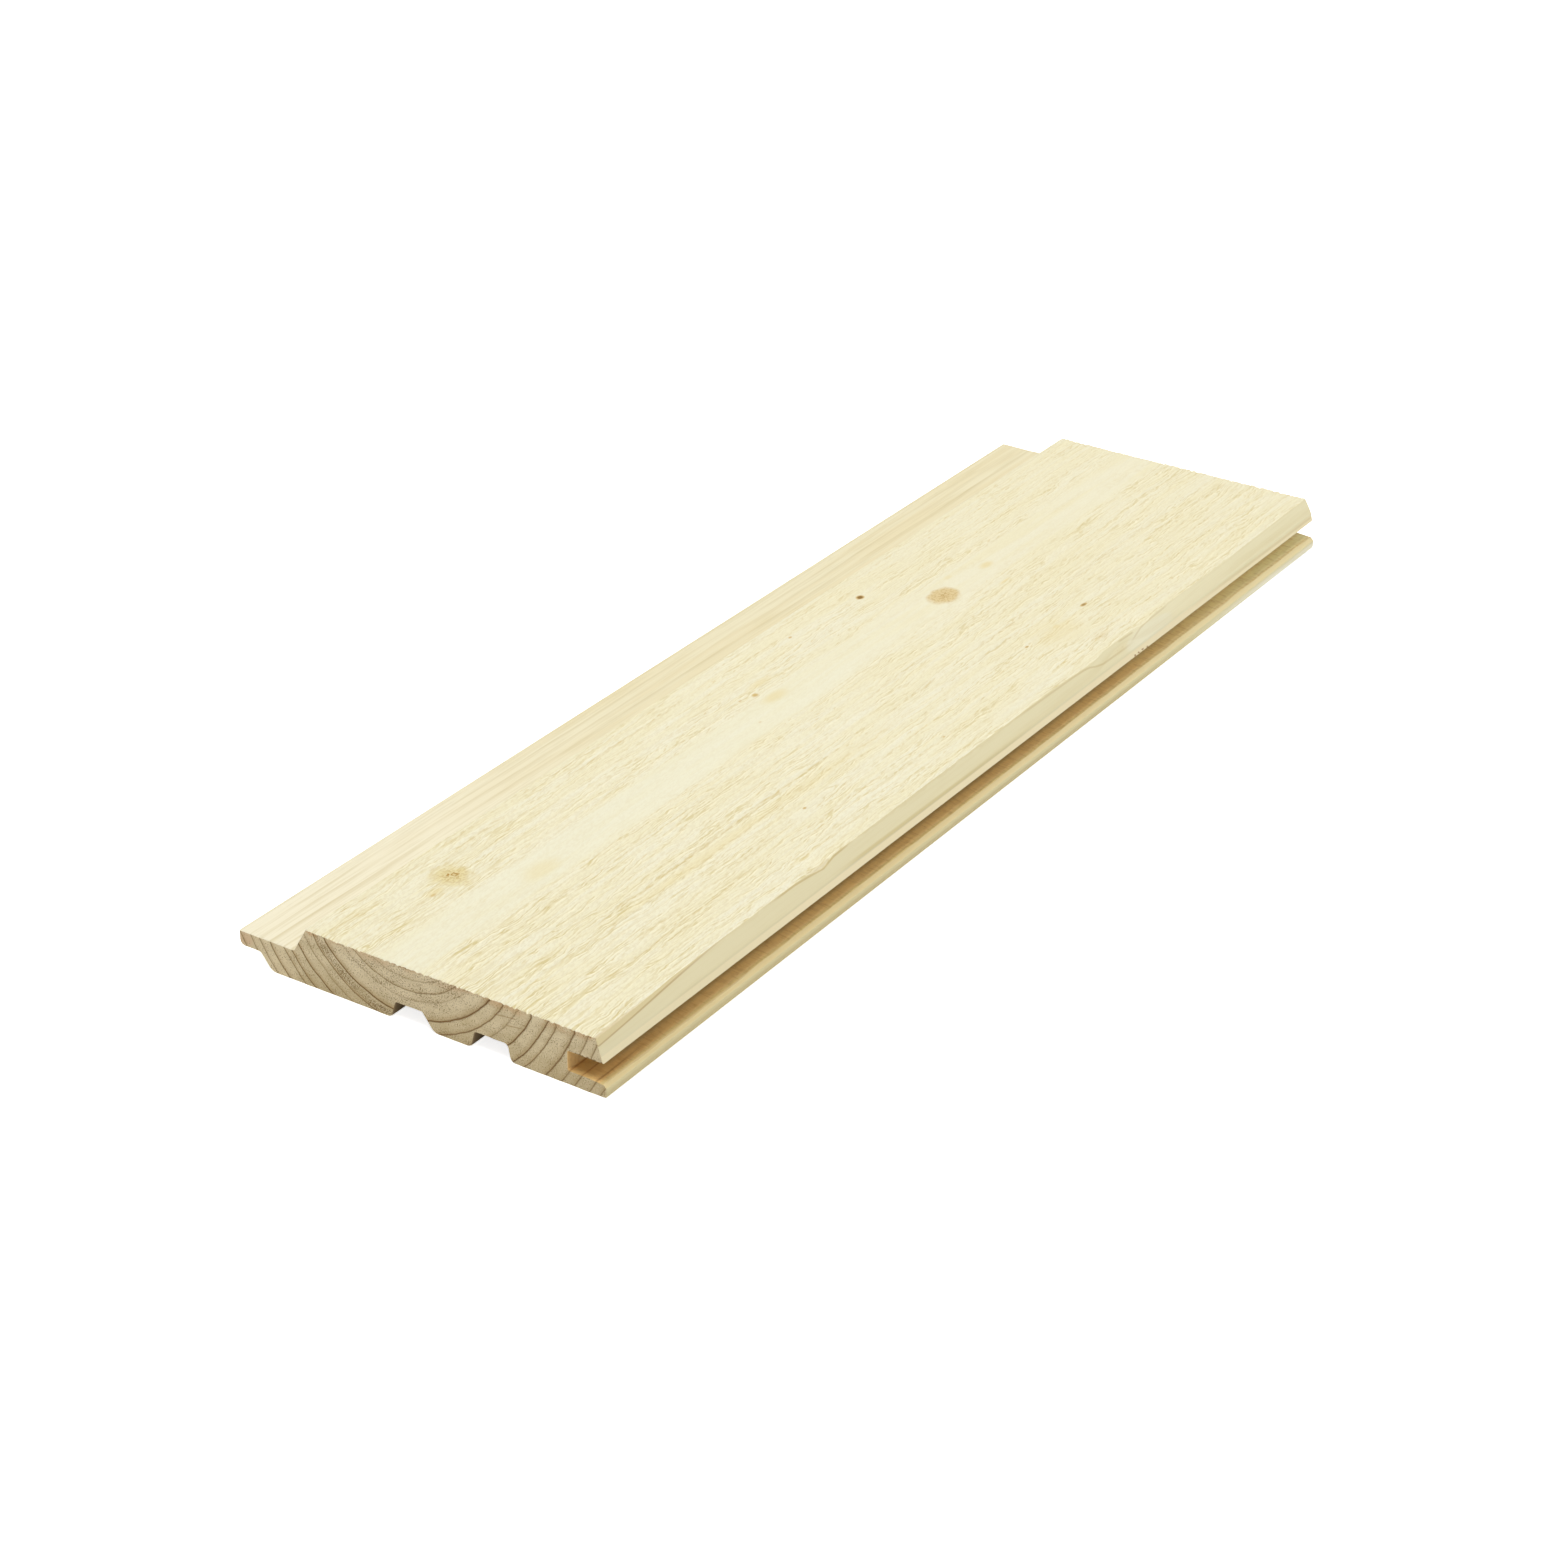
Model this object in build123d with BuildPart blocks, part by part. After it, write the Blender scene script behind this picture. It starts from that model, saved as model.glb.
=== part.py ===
"""Rough sawn cladding board: one sawn and moulded length of spruce, all sizes in millimetres.

X runs along the board, Y across it with the tongue towards +Y, and Z up from the flat back to the
sawn face. The origin is on the back, under the middle of the board's length and overall width.
"""

import os
from math import radians, tan

from build123d import *

# The piece as it was cut from long stock
length = 490.0
thickness = 21.0
cover_width = 136.0  # the width that each board adds to a wall

# The tongue, which lies in the next board's groove
tongue_overlap = 10.0  # past the cover width
tongue_thickness = 5.6
tongue_underside = 5.9  # above the back
tongue_top_width = 23.0  # tip to the foot of the face bevel
tongue_root_radius = 1.0
tongue_tip_radius = 2.0  # on the underside, where the tongue enters the groove

# How the tongue and groove fit each other
joint_clearance = 0.55  # above and below the tongue
expansion_gap = 4.6  # tongue tip to the bottom of the groove
shoulder_clearance = 0.3  # tongue shoulder to the next board's lower lip

# The bevels that meet the sawn face, measured from upright
face_bevel_angle = 30.0
face_arris_radius = 0.6

# The shoulder under the tongue, measured from upright
shoulder_angle = 38.0
shoulder_radius = 3.5

# The two lips of the groove
upper_lip_setback = 1.3  # behind the edge of the lower lip
upper_lip_nose = 2.05  # upright part of the upper lip's edge
lower_lip_bevel_width = 3.2
lower_lip_bevel_height = 1.6
lower_lip_back_radius = 1.2
groove_corner_radius = 0.5
small_arris_radius = 0.4

# The two relief grooves in the back, which keep a wide board flat
relief_depth = 6.2
relief_root_radius = 0.8
relief_mouth_radius = 2.0
wide_lean_mouth_radius = 3.5  # on the wall that leans most
first_relief_centre = 3.4  # the middle of the root, from the board's centre line
first_relief_root = 10.4
first_relief_tongue_lean = 17.5
first_relief_groove_lean = 35.6
second_relief_centre = -28.9
second_relief_root = 12.4
second_relief_tongue_lean = 15.4
second_relief_groove_lean = 11.7


def lean(angle, height):
    """Sideways run of a wall that leans by angle from upright over height."""
    return height * tan(radians(angle))


# Places across the board, from the tongue tip to the edge of the lower lip
overall_width = cover_width + tongue_overlap
tongue_tip = overall_width / 2
lower_lip_edge = -overall_width / 2
tongue_top = tongue_underside + tongue_thickness
tongue_root = tongue_tip - tongue_top_width
tongue_side_arris = tongue_root - lean(face_bevel_angle, thickness - tongue_top)

# The shoulder leans back clear of the bevelled edge of the lower lip that it faces when fitted
lower_lip_top = tongue_underside - joint_clearance
lower_lip_corner = lower_lip_top - lower_lip_bevel_height
shoulder_at_lip = tongue_tip - tongue_overlap - shoulder_clearance
shoulder_top = shoulder_at_lip + lean(shoulder_angle, tongue_underside - lower_lip_corner)
shoulder_foot = shoulder_at_lip - lean(shoulder_angle, lower_lip_corner)

# The groove takes the tongue with the joint clearance above and below it
groove_top = tongue_top + joint_clearance
groove_bottom = lower_lip_edge + tongue_overlap + expansion_gap
upper_lip_edge = lower_lip_edge + upper_lip_setback
upper_lip_corner = groove_top + upper_lip_nose
groove_side_arris = upper_lip_edge + lean(face_bevel_angle, thickness - upper_lip_corner)

# The outline of the section: each corner with the radius that rounds it
section_corners = [
    ((tongue_side_arris, thickness), face_arris_radius),
    ((tongue_root, tongue_top), tongue_root_radius),
    ((tongue_tip, tongue_top), small_arris_radius),
    ((tongue_tip, tongue_underside), tongue_tip_radius),
    ((shoulder_top, tongue_underside), tongue_root_radius),
    ((shoulder_foot, 0), shoulder_radius),
    ((lower_lip_edge, 0), lower_lip_back_radius),
    ((lower_lip_edge, lower_lip_corner), small_arris_radius),
    ((lower_lip_edge + lower_lip_bevel_width, lower_lip_top), small_arris_radius),
    ((groove_bottom, lower_lip_top), groove_corner_radius),
    ((groove_bottom, groove_top), groove_corner_radius),
    ((upper_lip_edge, groove_top), small_arris_radius),
    ((upper_lip_edge, upper_lip_corner), small_arris_radius),
    ((groove_side_arris, thickness), face_arris_radius),
]


def relief_corners(centre, root, tongue_lean, groove_lean):
    """Corners of one relief groove, from its mouth on the tongue side round to its other mouth."""
    tongue_wall = centre + root / 2
    groove_wall = centre - root / 2
    groove_mouth_radius = wide_lean_mouth_radius if groove_lean > tongue_lean else relief_mouth_radius
    return [
        ((tongue_wall + lean(tongue_lean, relief_depth), 0), relief_mouth_radius),
        ((tongue_wall, relief_depth), relief_root_radius),
        ((groove_wall, relief_depth), relief_root_radius),
        ((groove_wall - lean(groove_lean, relief_depth), 0), groove_mouth_radius),
    ]


relief_grooves = [
    relief_corners(first_relief_centre, first_relief_root, first_relief_tongue_lean, first_relief_groove_lean),
    relief_corners(second_relief_centre, second_relief_root, second_relief_tongue_lean, second_relief_groove_lean),
]

with BuildPart() as board:
    with BuildSketch(Plane.YZ) as section:
        with BuildLine():
            Polyline(*[corner for corner, radius in section_corners], close=True)
        make_face()
        for groove in relief_grooves:
            with BuildLine():
                Polyline(*[corner for corner, radius in groove], close=True)
            make_face(mode=Mode.SUBTRACT)
        for corner, radius in sum(relief_grooves, section_corners):
            fillet(section.vertices().sort_by_distance((*corner, 0))[0], radius)
    extrude(amount=length / 2, both=True)

board.part.label = "board"

os.makedirs("parts", exist_ok=True)
export_step(board.part, "parts/board.step")
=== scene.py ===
"""Looks of a rough sawn cladding board: one length of spruce, sawn on its face and planed elsewhere.

Metres. X runs along the board, Y across it towards the tongue, and Z up from the back to the sawn face.
The marks in the wood are placed in mm, in the same frame. The near end is the one at the lowest X.
"""

import math
from types import SimpleNamespace

import bmesh
import bpy
from mathutils import Matrix, Vector


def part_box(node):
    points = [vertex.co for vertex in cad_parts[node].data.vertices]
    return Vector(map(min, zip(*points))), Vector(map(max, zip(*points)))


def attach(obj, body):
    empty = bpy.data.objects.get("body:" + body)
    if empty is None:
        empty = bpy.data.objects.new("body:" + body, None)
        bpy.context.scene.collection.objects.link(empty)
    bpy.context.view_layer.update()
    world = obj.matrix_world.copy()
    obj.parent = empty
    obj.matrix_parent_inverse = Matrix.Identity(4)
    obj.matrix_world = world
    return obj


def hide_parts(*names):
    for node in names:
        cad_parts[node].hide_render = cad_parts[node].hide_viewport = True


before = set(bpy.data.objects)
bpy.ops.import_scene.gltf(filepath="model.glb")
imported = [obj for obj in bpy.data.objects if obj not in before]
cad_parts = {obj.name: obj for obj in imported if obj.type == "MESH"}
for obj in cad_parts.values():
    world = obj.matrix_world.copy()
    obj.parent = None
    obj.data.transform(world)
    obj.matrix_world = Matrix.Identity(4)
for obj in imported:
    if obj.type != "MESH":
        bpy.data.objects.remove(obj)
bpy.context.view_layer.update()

MM = 0.001
board_low, board_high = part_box("board")
LENGTH = board_high.x - board_low.x
THICKNESS = board_high.z
TONGUE_TIP = board_high.y
LOWER_LIP_EDGE = board_low.y

# The section's sizes, from the tongue round to the groove. Angles are in degrees from upright.
TONGUE_UNDERSIDE = 5.9 * MM
TONGUE_TOP = 11.5 * MM
TONGUE_TOP_WIDTH = 23.0 * MM
TONGUE_OVERLAP = 10.0 * MM
JOINT_CLEARANCE = 0.55 * MM
EXPANSION_GAP = 4.6 * MM
SHOULDER_CLEARANCE = 0.3 * MM
FACE_BEVEL = 30.0
SHOULDER_SLOPE = 38.0
UPPER_LIP_SETBACK = 1.15 * MM
UPPER_LIP_NOSE = 3.15 * MM
NOSE_LEAN = 0.8 * MM
LOWER_LIP_BEVEL_WIDTH = 3.2 * MM
LOWER_LIP_BEVEL_HEIGHT = 1.6 * MM
RELIEF_DEPTH = 6.2 * MM

# Heights and places that follow from them
LIP_TOP = TONGUE_UNDERSIDE - JOINT_CLEARANCE
LIP_CORNER = LIP_TOP - LOWER_LIP_BEVEL_HEIGHT
GROOVE_TOP = TONGUE_TOP + JOINT_CLEARANCE
GROOVE_BOTTOM = LOWER_LIP_EDGE + TONGUE_OVERLAP + EXPANSION_GAP

# How finely the skin is divided: the sawn face most, because its relief is real
FACE_PITCH = 0.5 * MM
PLANED_PITCH = 3.2 * MM
FACE_PARTS = 5
FIRST_ROWS = 10
ROWS_IN_EACH = 23
ARC_STEPS = 3
# How near in metres counts as touching, and how far below the face a place still counts as part of it
TOUCHING = 0.01 * MM
SAWN_BAND = 0.2 * MM

# The angle in degrees from which an arris stays sharp to the eye
SHARP_FROM = 35.0

# The small chamfer round each end, and how far the saw left its edge ragged, outwards and inwards in mm
END_ARRIS = 0.25 * MM
END_RAGGED_OUT = 0.1
END_RAGGED_IN = 0.35

# The ends and the sawn face in mm, as the marks in the wood need them
NEAR_END = -LENGTH / MM / 2
FAR_END = LENGTH / MM / 2
TOP = THICKNESS / MM
# A reach so long that a distance along the board doesn't count
ANY_LENGTH = 1.0e6

# Growth rings about the pith, which ran above the face: each dark line's distance from it in mm, and how
# dark it is. Past WIDER_FROM the rings grew wider on the groove side than on the tongue side.
PITH = (0.0, 4.5, 43.1)
RINGS = (
    (19.5, 0.1), (23.3, 0.25), (26.6, 0.35), (30.8, 0.6), (33.8, 0.25), (40.4, 0.95), (44.6, 0.8),
    (48.6, 0.45), (53.4, 1.0), (58.1, 0.9), (60.9, 0.8), (66.7, 0.8), (70.9, 0.6), (74.4, 0.65),
    (78.9, 0.6), (82.1, 0.6), (86.0, 0.6), (90.0, 0.6), (94.0, 0.6), (98.0, 0.6),
)
RING_REACH = 100.0
WIDER_FROM = 37.0
WIDER_BY = 0.105
# The ring whose wood is full of resin specks, by its distance from the pith
SPECKLED_RING = 42.4

# Knots on the sawn face: place along and across, half their length and width, all in mm, how brown the
# body and how dark the heart is, how far each pushes the rings aside, and how softly its body ends
KNOTS = (
    (-191.5, 27.3, 7.4, 8.2, 0.85, 1.2, 2.2, 0.7),
    (83.0, 5.4, 8.1, 5.7, 0.95, 0.7, 0.2, 0.4),
    (-27.5, 18.2, 2.0, 1.7, 0.6, 0.6, 0.8, 0.8),
    (86.0, -60.5, 8.0, 3.0, 0.25, 0.3, 2.2, 0.9),
)
# Pin knots and dark specks: place along and across, half length and half width in mm, and how dark
PIN_KNOTS = (
    (64.0, 31.2, 2.3, 1.8, 1.0),
    (-27.5, 18.2, 1.8, 1.4, 0.45),
    (106.2, -42.3, 2.6, 1.1, 0.75),
    (62.3, -42.7, 1.3, 0.8, 0.6),
    (-88.3, -42.5, 1.2, 0.8, 0.5),
    (-44.0, 5.0, 1.2, 0.7, 0.2),
    (19.7, 34.0, 1.4, 0.8, 0.4),
    (-17.0, -54.6, 1.0, 0.6, 0.35),
    (-205.0, 24.7, 1.9, 1.1, 0.3),
    (-34.5, 20.0, 1.2, 0.7, 0.3),
)
# Soft tan stains on the sawn face: place along and across, half length and half width, and how dark
STAINS = (
    (-172.0, 6.0, 11.0, 5.0, 0.6),
    (-24.0, 12.0, 9.0, 3.5, 0.8),
    (-18.0, 22.5, 10.0, 2.2, 0.7),
    (80.0, -46.0, 18.0, 9.0, 0.5),
    (-55.0, -34.0, 60.0, 4.0, 0.25),
    (-135.0, -33.5, 60.0, 2.5, 0.4),
    (116.6, 6.5, 5.0, 2.4, 1.0),
    (98.0, 12.6, 3.0, 1.6, 0.5),
    (107.5, -7.0, 4.5, 0.8, 1.0),
    (83.5, -43.2, 3.4, 2.0, 0.9),
    (-203.0, 25.5, 5.0, 2.0, 0.8),
)
# Stretches where ring lines show strongly on the face: place, half the size, and how strongly
STREAKS = (
    (-229.0, -11.5, 16.0, 4.0, 1.0),
    (-181.0, -11.5, 34.0, 4.0, 1.0),
    (-75.0, -9.5, 90.0, 5.0, 0.7),
    (-228.0, -22.0, 14.0, 3.0, 0.8),
    (-113.0, -22.0, 20.0, 3.0, 0.7),
    (-125.0, -30.0, 95.0, 3.5, 0.9),
    (-120.0, -35.0, 130.0, 3.0, 0.7),
    (-175.0, -52.0, 35.0, 3.0, 0.7),
    (-225.0, 43.0, 20.0, 3.0, 1.0),
    (-172.0, 43.0, 18.0, 3.0, 0.8),
    (-98.0, 29.5, 26.0, 3.0, 0.6),
    (-216.0, 15.0, 10.0, 3.0, 0.7),
    (-150.0, -4.0, 100.0, 3.0, 0.4),
)
# How deep those marks go below the sawn face, in mm
PIN_DEPTH = 4.0
STREAK_DEPTH = 30.0

# The relief of the sawn face in mm: how much lower or prouder each kind of mark is, how much is off the
# face everywhere, and the least that is off it anywhere
SWELL_DEPTH = 0.24
RIDGE_DEPTH = 0.1
TEAR_DEPTH = 0.05
KNOT_CHECK_DEPTH = 0.12
END_NICK_DEPTH = 0.5
LIFTED_LINE_RISE = 0.04
LATE_WOOD_RISE = 0.08
KNOT_RISE = 0.1
DROP_EVERYWHERE = 0.1
LEAST_DROP = 0.01

# Places where the saw tore the groove side's arris: along, reach before and after, and depth, in mm
ARRIS_DIPS = (
    (-117.0, 13.0, 7.0, 1.5),
    (-236.0, 20.0, 45.0, 0.3),
    (66.0, 36.0, 11.0, 0.8),
    (107.0, 12.0, 7.0, 0.8),
    (165.0, 60.0, 60.0, 0.35),
)
# How much fuller that arris is at the near end, and over what length, in mm
ARRIS_FULLNESS = 1.3
FULLER_OVER = 52.0
# How much of the lower lip's bevel was never cut, and over what length from the near end still more of it
# was left, in mm
LIP_NARROWING = 1.8
MORE_LEFT_OVER = 125.0
# Tan lines over the groove side's bevel: how dark each is, and its places along and up. The first is
# painted shadow under the torn arris near -117 mm; the others wander over the bevel.
BEVEL_LINES = (
    (0.75, ((-150.0, 20.4), (-134.0, 20.4), (-126.0, 19.9), (-117.0, 19.2), (-110.0, 20.3), (-98.0, 20.6))),
    (0.5, ((5.0, 20.3), (30.0, 20.1), (51.0, 19.8), (59.0, 19.5), (63.0, 19.1), (67.0, 18.1), (72.0, 17.3),
           (86.0, 17.1), (98.0, 17.0))),
    (0.45, ((85.0, 20.3), (88.0, 20.1), (92.0, 20.0), (98.0, 19.8))),
    (0.4, ((92.0, 17.4), (95.0, 17.8), (99.0, 18.7), (103.0, 19.5), (108.0, 19.9), (126.0, 20.2))),
)
# The height that those lines are counted from
BEVEL_FOOT = 15.0

# Sideways run for each mm along of the torn fibres, and of the saw's own flecks
FIBRE_SLANT = 0.1
SAW_SLANT = 0.25
# How far beside a dark line its paler copy lies, in mm: raised fibres that are partly painted highlight
RAISED_AND_HIGHLIGHT_BESIDE = 0.55
# Thin scratches over the near end: place across and up, half the length, and rise for each mm across
SCRATCHES = ((-34.6, 16.1, 4.8, -0.126), (-37.8, 13.5, 3.2, -0.14))

# Tones of the wood, as red, green and blue on a screen
FACE = SimpleNamespace(
    cream=(242, 237, 211),
    warmer_cream=(241, 234, 201),
    far_half=(235, 224, 184),
    round_lines=(243, 231, 188),
    calm_band=(240, 236, 209),
    ridges=(232, 221, 182),
    flecks=(220, 207, 170),
    late_wood=(227, 210, 156),
    raised_fibres_and_highlight=(252, 245, 215),
    early_wood=(250, 243, 213),
    broken_lines=(218, 203, 152),
    late_dashes=(210, 188, 128),
    tears=(220, 199, 138),
    stains=(232, 213, 151),
    near_knots=(228, 212, 154),
    far_knots=(223, 199, 144),
    knot_hearts=(182, 143, 76),
    pin_halos=(214, 184, 120),
    pin_hearts=(128, 90, 38),
    tan_strip=(218, 201, 160),
    torn_arris=(200, 176, 122),
)
PLANED = SimpleNamespace(
    cream=(238, 229, 196),
    warmer_cream=(235, 223, 185),
    near_third=(246, 238, 212),
    streaks=(212, 198, 152),
    late_wood=(205, 188, 136),
    # painted shade on the walls of the back's relief grooves
    relief_groove_shade=(108, 82, 42),
    knots=(226, 206, 152),
    knot_hearts=(176, 143, 88),
)
BEVEL = SimpleNamespace(
    near=(221, 211, 173),
    far=(226, 217, 179),
    past_knot=(233, 225, 190),
    pale_patch=(229, 223, 194),
    # the nose is painted lighter than the bevel, as painted light, and the line at its top is painted shade
    near_nose_light=(232, 219, 180),
    far_nose_light=(237, 223, 184),
    nose_line_shade=(204, 188, 138),
    # the first bevel line is painted shadow under a torn arris
    lines_and_arris_shadow=(196, 176, 124),
    above_near_ring=(214, 197, 148),
    near_ring=(168, 134, 80),
    splinters=(150, 100, 46),
)
LIP = SimpleNamespace(
    near_side=(214, 201, 156),
    far_side=(222, 212, 168),
    # painted shade low on the lip's side
    shaded_foot=(194, 180, 136),
    pale_low_side=(240, 236, 214),
    near_bevel=(219, 199, 148),
    far_bevel=(227, 210, 163),
)
# Inside the groove the tones are partly the wood's own burnished brown and partly painted shade, which
# darkens the floor towards the back and in a strip under the upper lip's nose; the cutter's marks and the
# mouth's rings are the wood's own
GROOVE = SimpleNamespace(
    floor=(252, 220, 155),
    far_floor=(255, 246, 196),
    mouth_floor=(220, 178, 108),
    shade_by_lip=(216, 193, 132),
    far_shade_by_lip=(228, 208, 156),
    back=(196, 174, 124),
    far_shaded_back=(240, 224, 176),
    mouth_shaded_back=(212, 172, 104),
    cutter_marks=(184, 144, 86),
    mouth_rings=(150, 98, 48),
)
END = SimpleNamespace(
    pale=(226, 209, 171),
    dark=(208, 190, 150),
    # painted shade towards the bottom of the end
    low_shade=(182, 162, 118),
    tongue=(232, 214, 174),
    flecks=(238, 225, 192),
    pores=(180, 160, 118),
    warm_top=(214, 174, 130),
    nicked_rim=(186, 134, 84),
    tongue_tip=(215, 180, 142),
    young_wood=(236, 220, 186),
    broad_rings=(174, 145, 96),
    dots=(126, 94, 52),
    spots=(118, 90, 50),
    thin_rings=(112, 80, 40),
    scratches=(150, 112, 68),
    torn_lip=(120, 88, 48),
)

# The floor's width and how far it lies below the board in metres, and how much it shines to the eye
FLOOR_SIZE = 30.0
FLOOR_BELOW = 0.02 * MM
FLOOR_GLOW = 0.8
# The light from all round, and each lamp's turn about X and Y in degrees, its strength and its breadth
ROUND_LIGHT = 0.32
LAMPS = (
    ((4, -7), 2.05, 34),
    ((70, 0), 0.6, 70),
)

# The camera: its place in mm, its heading, tilt and roll in degrees, and its lens and sensor in mm
CAMERA_PLACE = (-966.5, -604.9, 589.4)
CAMERA_HEADING = -56.81
CAMERA_TILT = 61.93
CAMERA_ROLL = 0.48
CAMERA_LENS = 81.6
CAMERA_SENSOR = 36.0


def lean(angle, height):
    """Sideways run of a wall that leans by angle, in degrees from upright, over height."""
    return height * math.tan(math.radians(angle))


def relief_corners(centre, root, groove_root, tongue_lean, groove_lean, tongue_mouth, groove_mouth):
    """Corners of one relief groove in the back, each with its radius, from the groove side across."""
    tongue_wall = centre + root / 2
    groove_wall = centre - root / 2
    return [
        (groove_wall - lean(groove_lean, RELIEF_DEPTH), 0, groove_mouth),
        (groove_wall, RELIEF_DEPTH, groove_root),
        (tongue_wall, RELIEF_DEPTH, 0.8 * MM),
        (tongue_wall + lean(tongue_lean, RELIEF_DEPTH), 0, tongue_mouth),
    ]


def section_corners():
    """Corners of the section, as across, up and radius, from the face's tongue side down and round."""
    tongue_root = TONGUE_TIP - TONGUE_TOP_WIDTH
    shoulder = TONGUE_TIP - TONGUE_OVERLAP - SHOULDER_CLEARANCE
    nose = LOWER_LIP_EDGE + UPPER_LIP_SETBACK
    nose_top = GROOVE_TOP + UPPER_LIP_NOSE
    bevel_foot = nose + NOSE_LEAN
    tongue_side_relief = relief_corners(
        centre=3.4 * MM,
        root=10.4 * MM,
        groove_root=0.8 * MM,
        tongue_lean=17.5,
        groove_lean=35.6,
        tongue_mouth=2.0 * MM,
        groove_mouth=3.5 * MM,
    )
    groove_side_relief = relief_corners(
        centre=-28.9 * MM,
        root=12.4 * MM,
        groove_root=1.4 * MM,
        tongue_lean=15.4,
        groove_lean=11.7,
        tongue_mouth=2.0 * MM,
        groove_mouth=2.0 * MM,
    )
    return [
        (tongue_root - lean(FACE_BEVEL, THICKNESS - TONGUE_TOP), THICKNESS, 0.3 * MM),
        (tongue_root, TONGUE_TOP, 1.0 * MM),
        (TONGUE_TIP, TONGUE_TOP, 0.4 * MM),
        (TONGUE_TIP, TONGUE_UNDERSIDE, 2.0 * MM),
        (shoulder + lean(SHOULDER_SLOPE, TONGUE_UNDERSIDE - LIP_CORNER), TONGUE_UNDERSIDE, 1.0 * MM),
        (shoulder - lean(SHOULDER_SLOPE, LIP_CORNER), 0, 3.5 * MM),
        *reversed(tongue_side_relief),
        *reversed(groove_side_relief),
        (LOWER_LIP_EDGE, 0, 1.15 * MM),
        (LOWER_LIP_EDGE, LIP_CORNER, 0.5 * MM),
        (LOWER_LIP_EDGE + LOWER_LIP_BEVEL_WIDTH, LIP_TOP, 0.4 * MM),
        (GROOVE_BOTTOM, LIP_TOP, 0.5 * MM),
        (GROOVE_BOTTOM, GROOVE_TOP, 0.5 * MM),
        (nose, GROOVE_TOP, 0.15 * MM),
        (bevel_foot, nose_top, 0.4 * MM),
        (bevel_foot + lean(FACE_BEVEL, THICKNESS - nose_top), THICKNESS, 0.3 * MM),
    ]


def pick(piece, kind, wanted):
    """In edit mode, selects just the vertices, edges or faces that wanted accepts."""
    bpy.ops.mesh.select_mode(type=kind)
    bpy.ops.mesh.select_all(action="DESELECT")
    shape = bmesh.from_edit_mesh(piece.data)
    parts = {"VERT": shape.verts, "EDGE": shape.edges, "FACE": shape.faces}[kind]
    for part in parts:
        if wanted(part):
            part.select_set(True)
    shape.select_flush_mode()
    bmesh.update_edit_mesh(piece.data)


def middle(edge):
    """Middle of an edge."""
    return (edge.verts[0].co + edge.verts[1].co) / 2


def on_sawn_face(place):
    """Whether a place lies on the sawn face."""
    return place.z > THICKNESS - SAWN_BAND


def closes_an_end(face):
    """Whether a face is one of the two sawn ends."""
    return abs(face.normal.x) > 0.9


def draw_section(name, corners):
    """Draws the section at the near end from one vertex, corner by corner, and rounds each corner."""
    bpy.ops.object.select_all(action="DESELECT")
    bpy.ops.mesh.primitive_plane_add(size=MM)
    piece = bpy.context.object
    piece.name = name
    near_end = END_ARRIS - LENGTH / 2
    bpy.ops.object.mode_set(mode="EDIT")
    bpy.ops.mesh.merge(type="CENTER")
    across, up, _ = corners[0]
    bpy.ops.transform.translate(value=(near_end, across, up))
    for (old_across, old_up, _), (across, up, _) in zip(corners, corners[1:]):
        step = (0, across - old_across, up - old_up)
        bpy.ops.mesh.extrude_region_move(TRANSFORM_OT_translate={"value": step})
    bpy.ops.mesh.select_all(action="SELECT")
    bpy.ops.mesh.edge_face_add()
    for before, corner, after in zip([corners[-1], *corners], corners, [*corners[1:], corners[0]]):
        place = Vector((near_end, corner[0], corner[1]))
        into = Vector(before[:2]) - Vector(corner[:2])
        out = Vector(after[:2]) - Vector(corner[:2])
        reach = corner[2] / math.tan(into.angle(out) / 2)
        pick(piece, "VERT", lambda vertex: (vertex.co - place).length < TOUCHING)
        bpy.ops.mesh.bevel(offset_type="OFFSET", offset=reach, segments=ARC_STEPS, affect="VERTICES")
    bpy.ops.mesh.select_all(action="SELECT")
    bpy.ops.mesh.delete(type="ONLY_FACE")
    return piece


def divide_outline(piece):
    """Divides the straight runs of the outline, the sawn face's much more finely than the others."""
    longest = max(edge.calc_length() for edge in bmesh.from_edit_mesh(piece.data).edges)
    pick(piece, "EDGE", lambda edge: on_sawn_face(middle(edge)) and edge.calc_length() > longest - TOUCHING)
    bpy.ops.mesh.subdivide(number_cuts=FACE_PARTS - 1)
    shape = bmesh.from_edit_mesh(piece.data)
    runs = [(middle(edge).copy(), edge.calc_length()) for edge in shape.edges]
    for place, run in runs:
        cuts = round(run / (FACE_PITCH if on_sawn_face(place) else PLANED_PITCH)) - 1
        if cuts > 0:
            pick(piece, "EDGE", lambda edge: (middle(edge) - place).length < TOUCHING)
            bpy.ops.mesh.subdivide(number_cuts=cuts)


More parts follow.
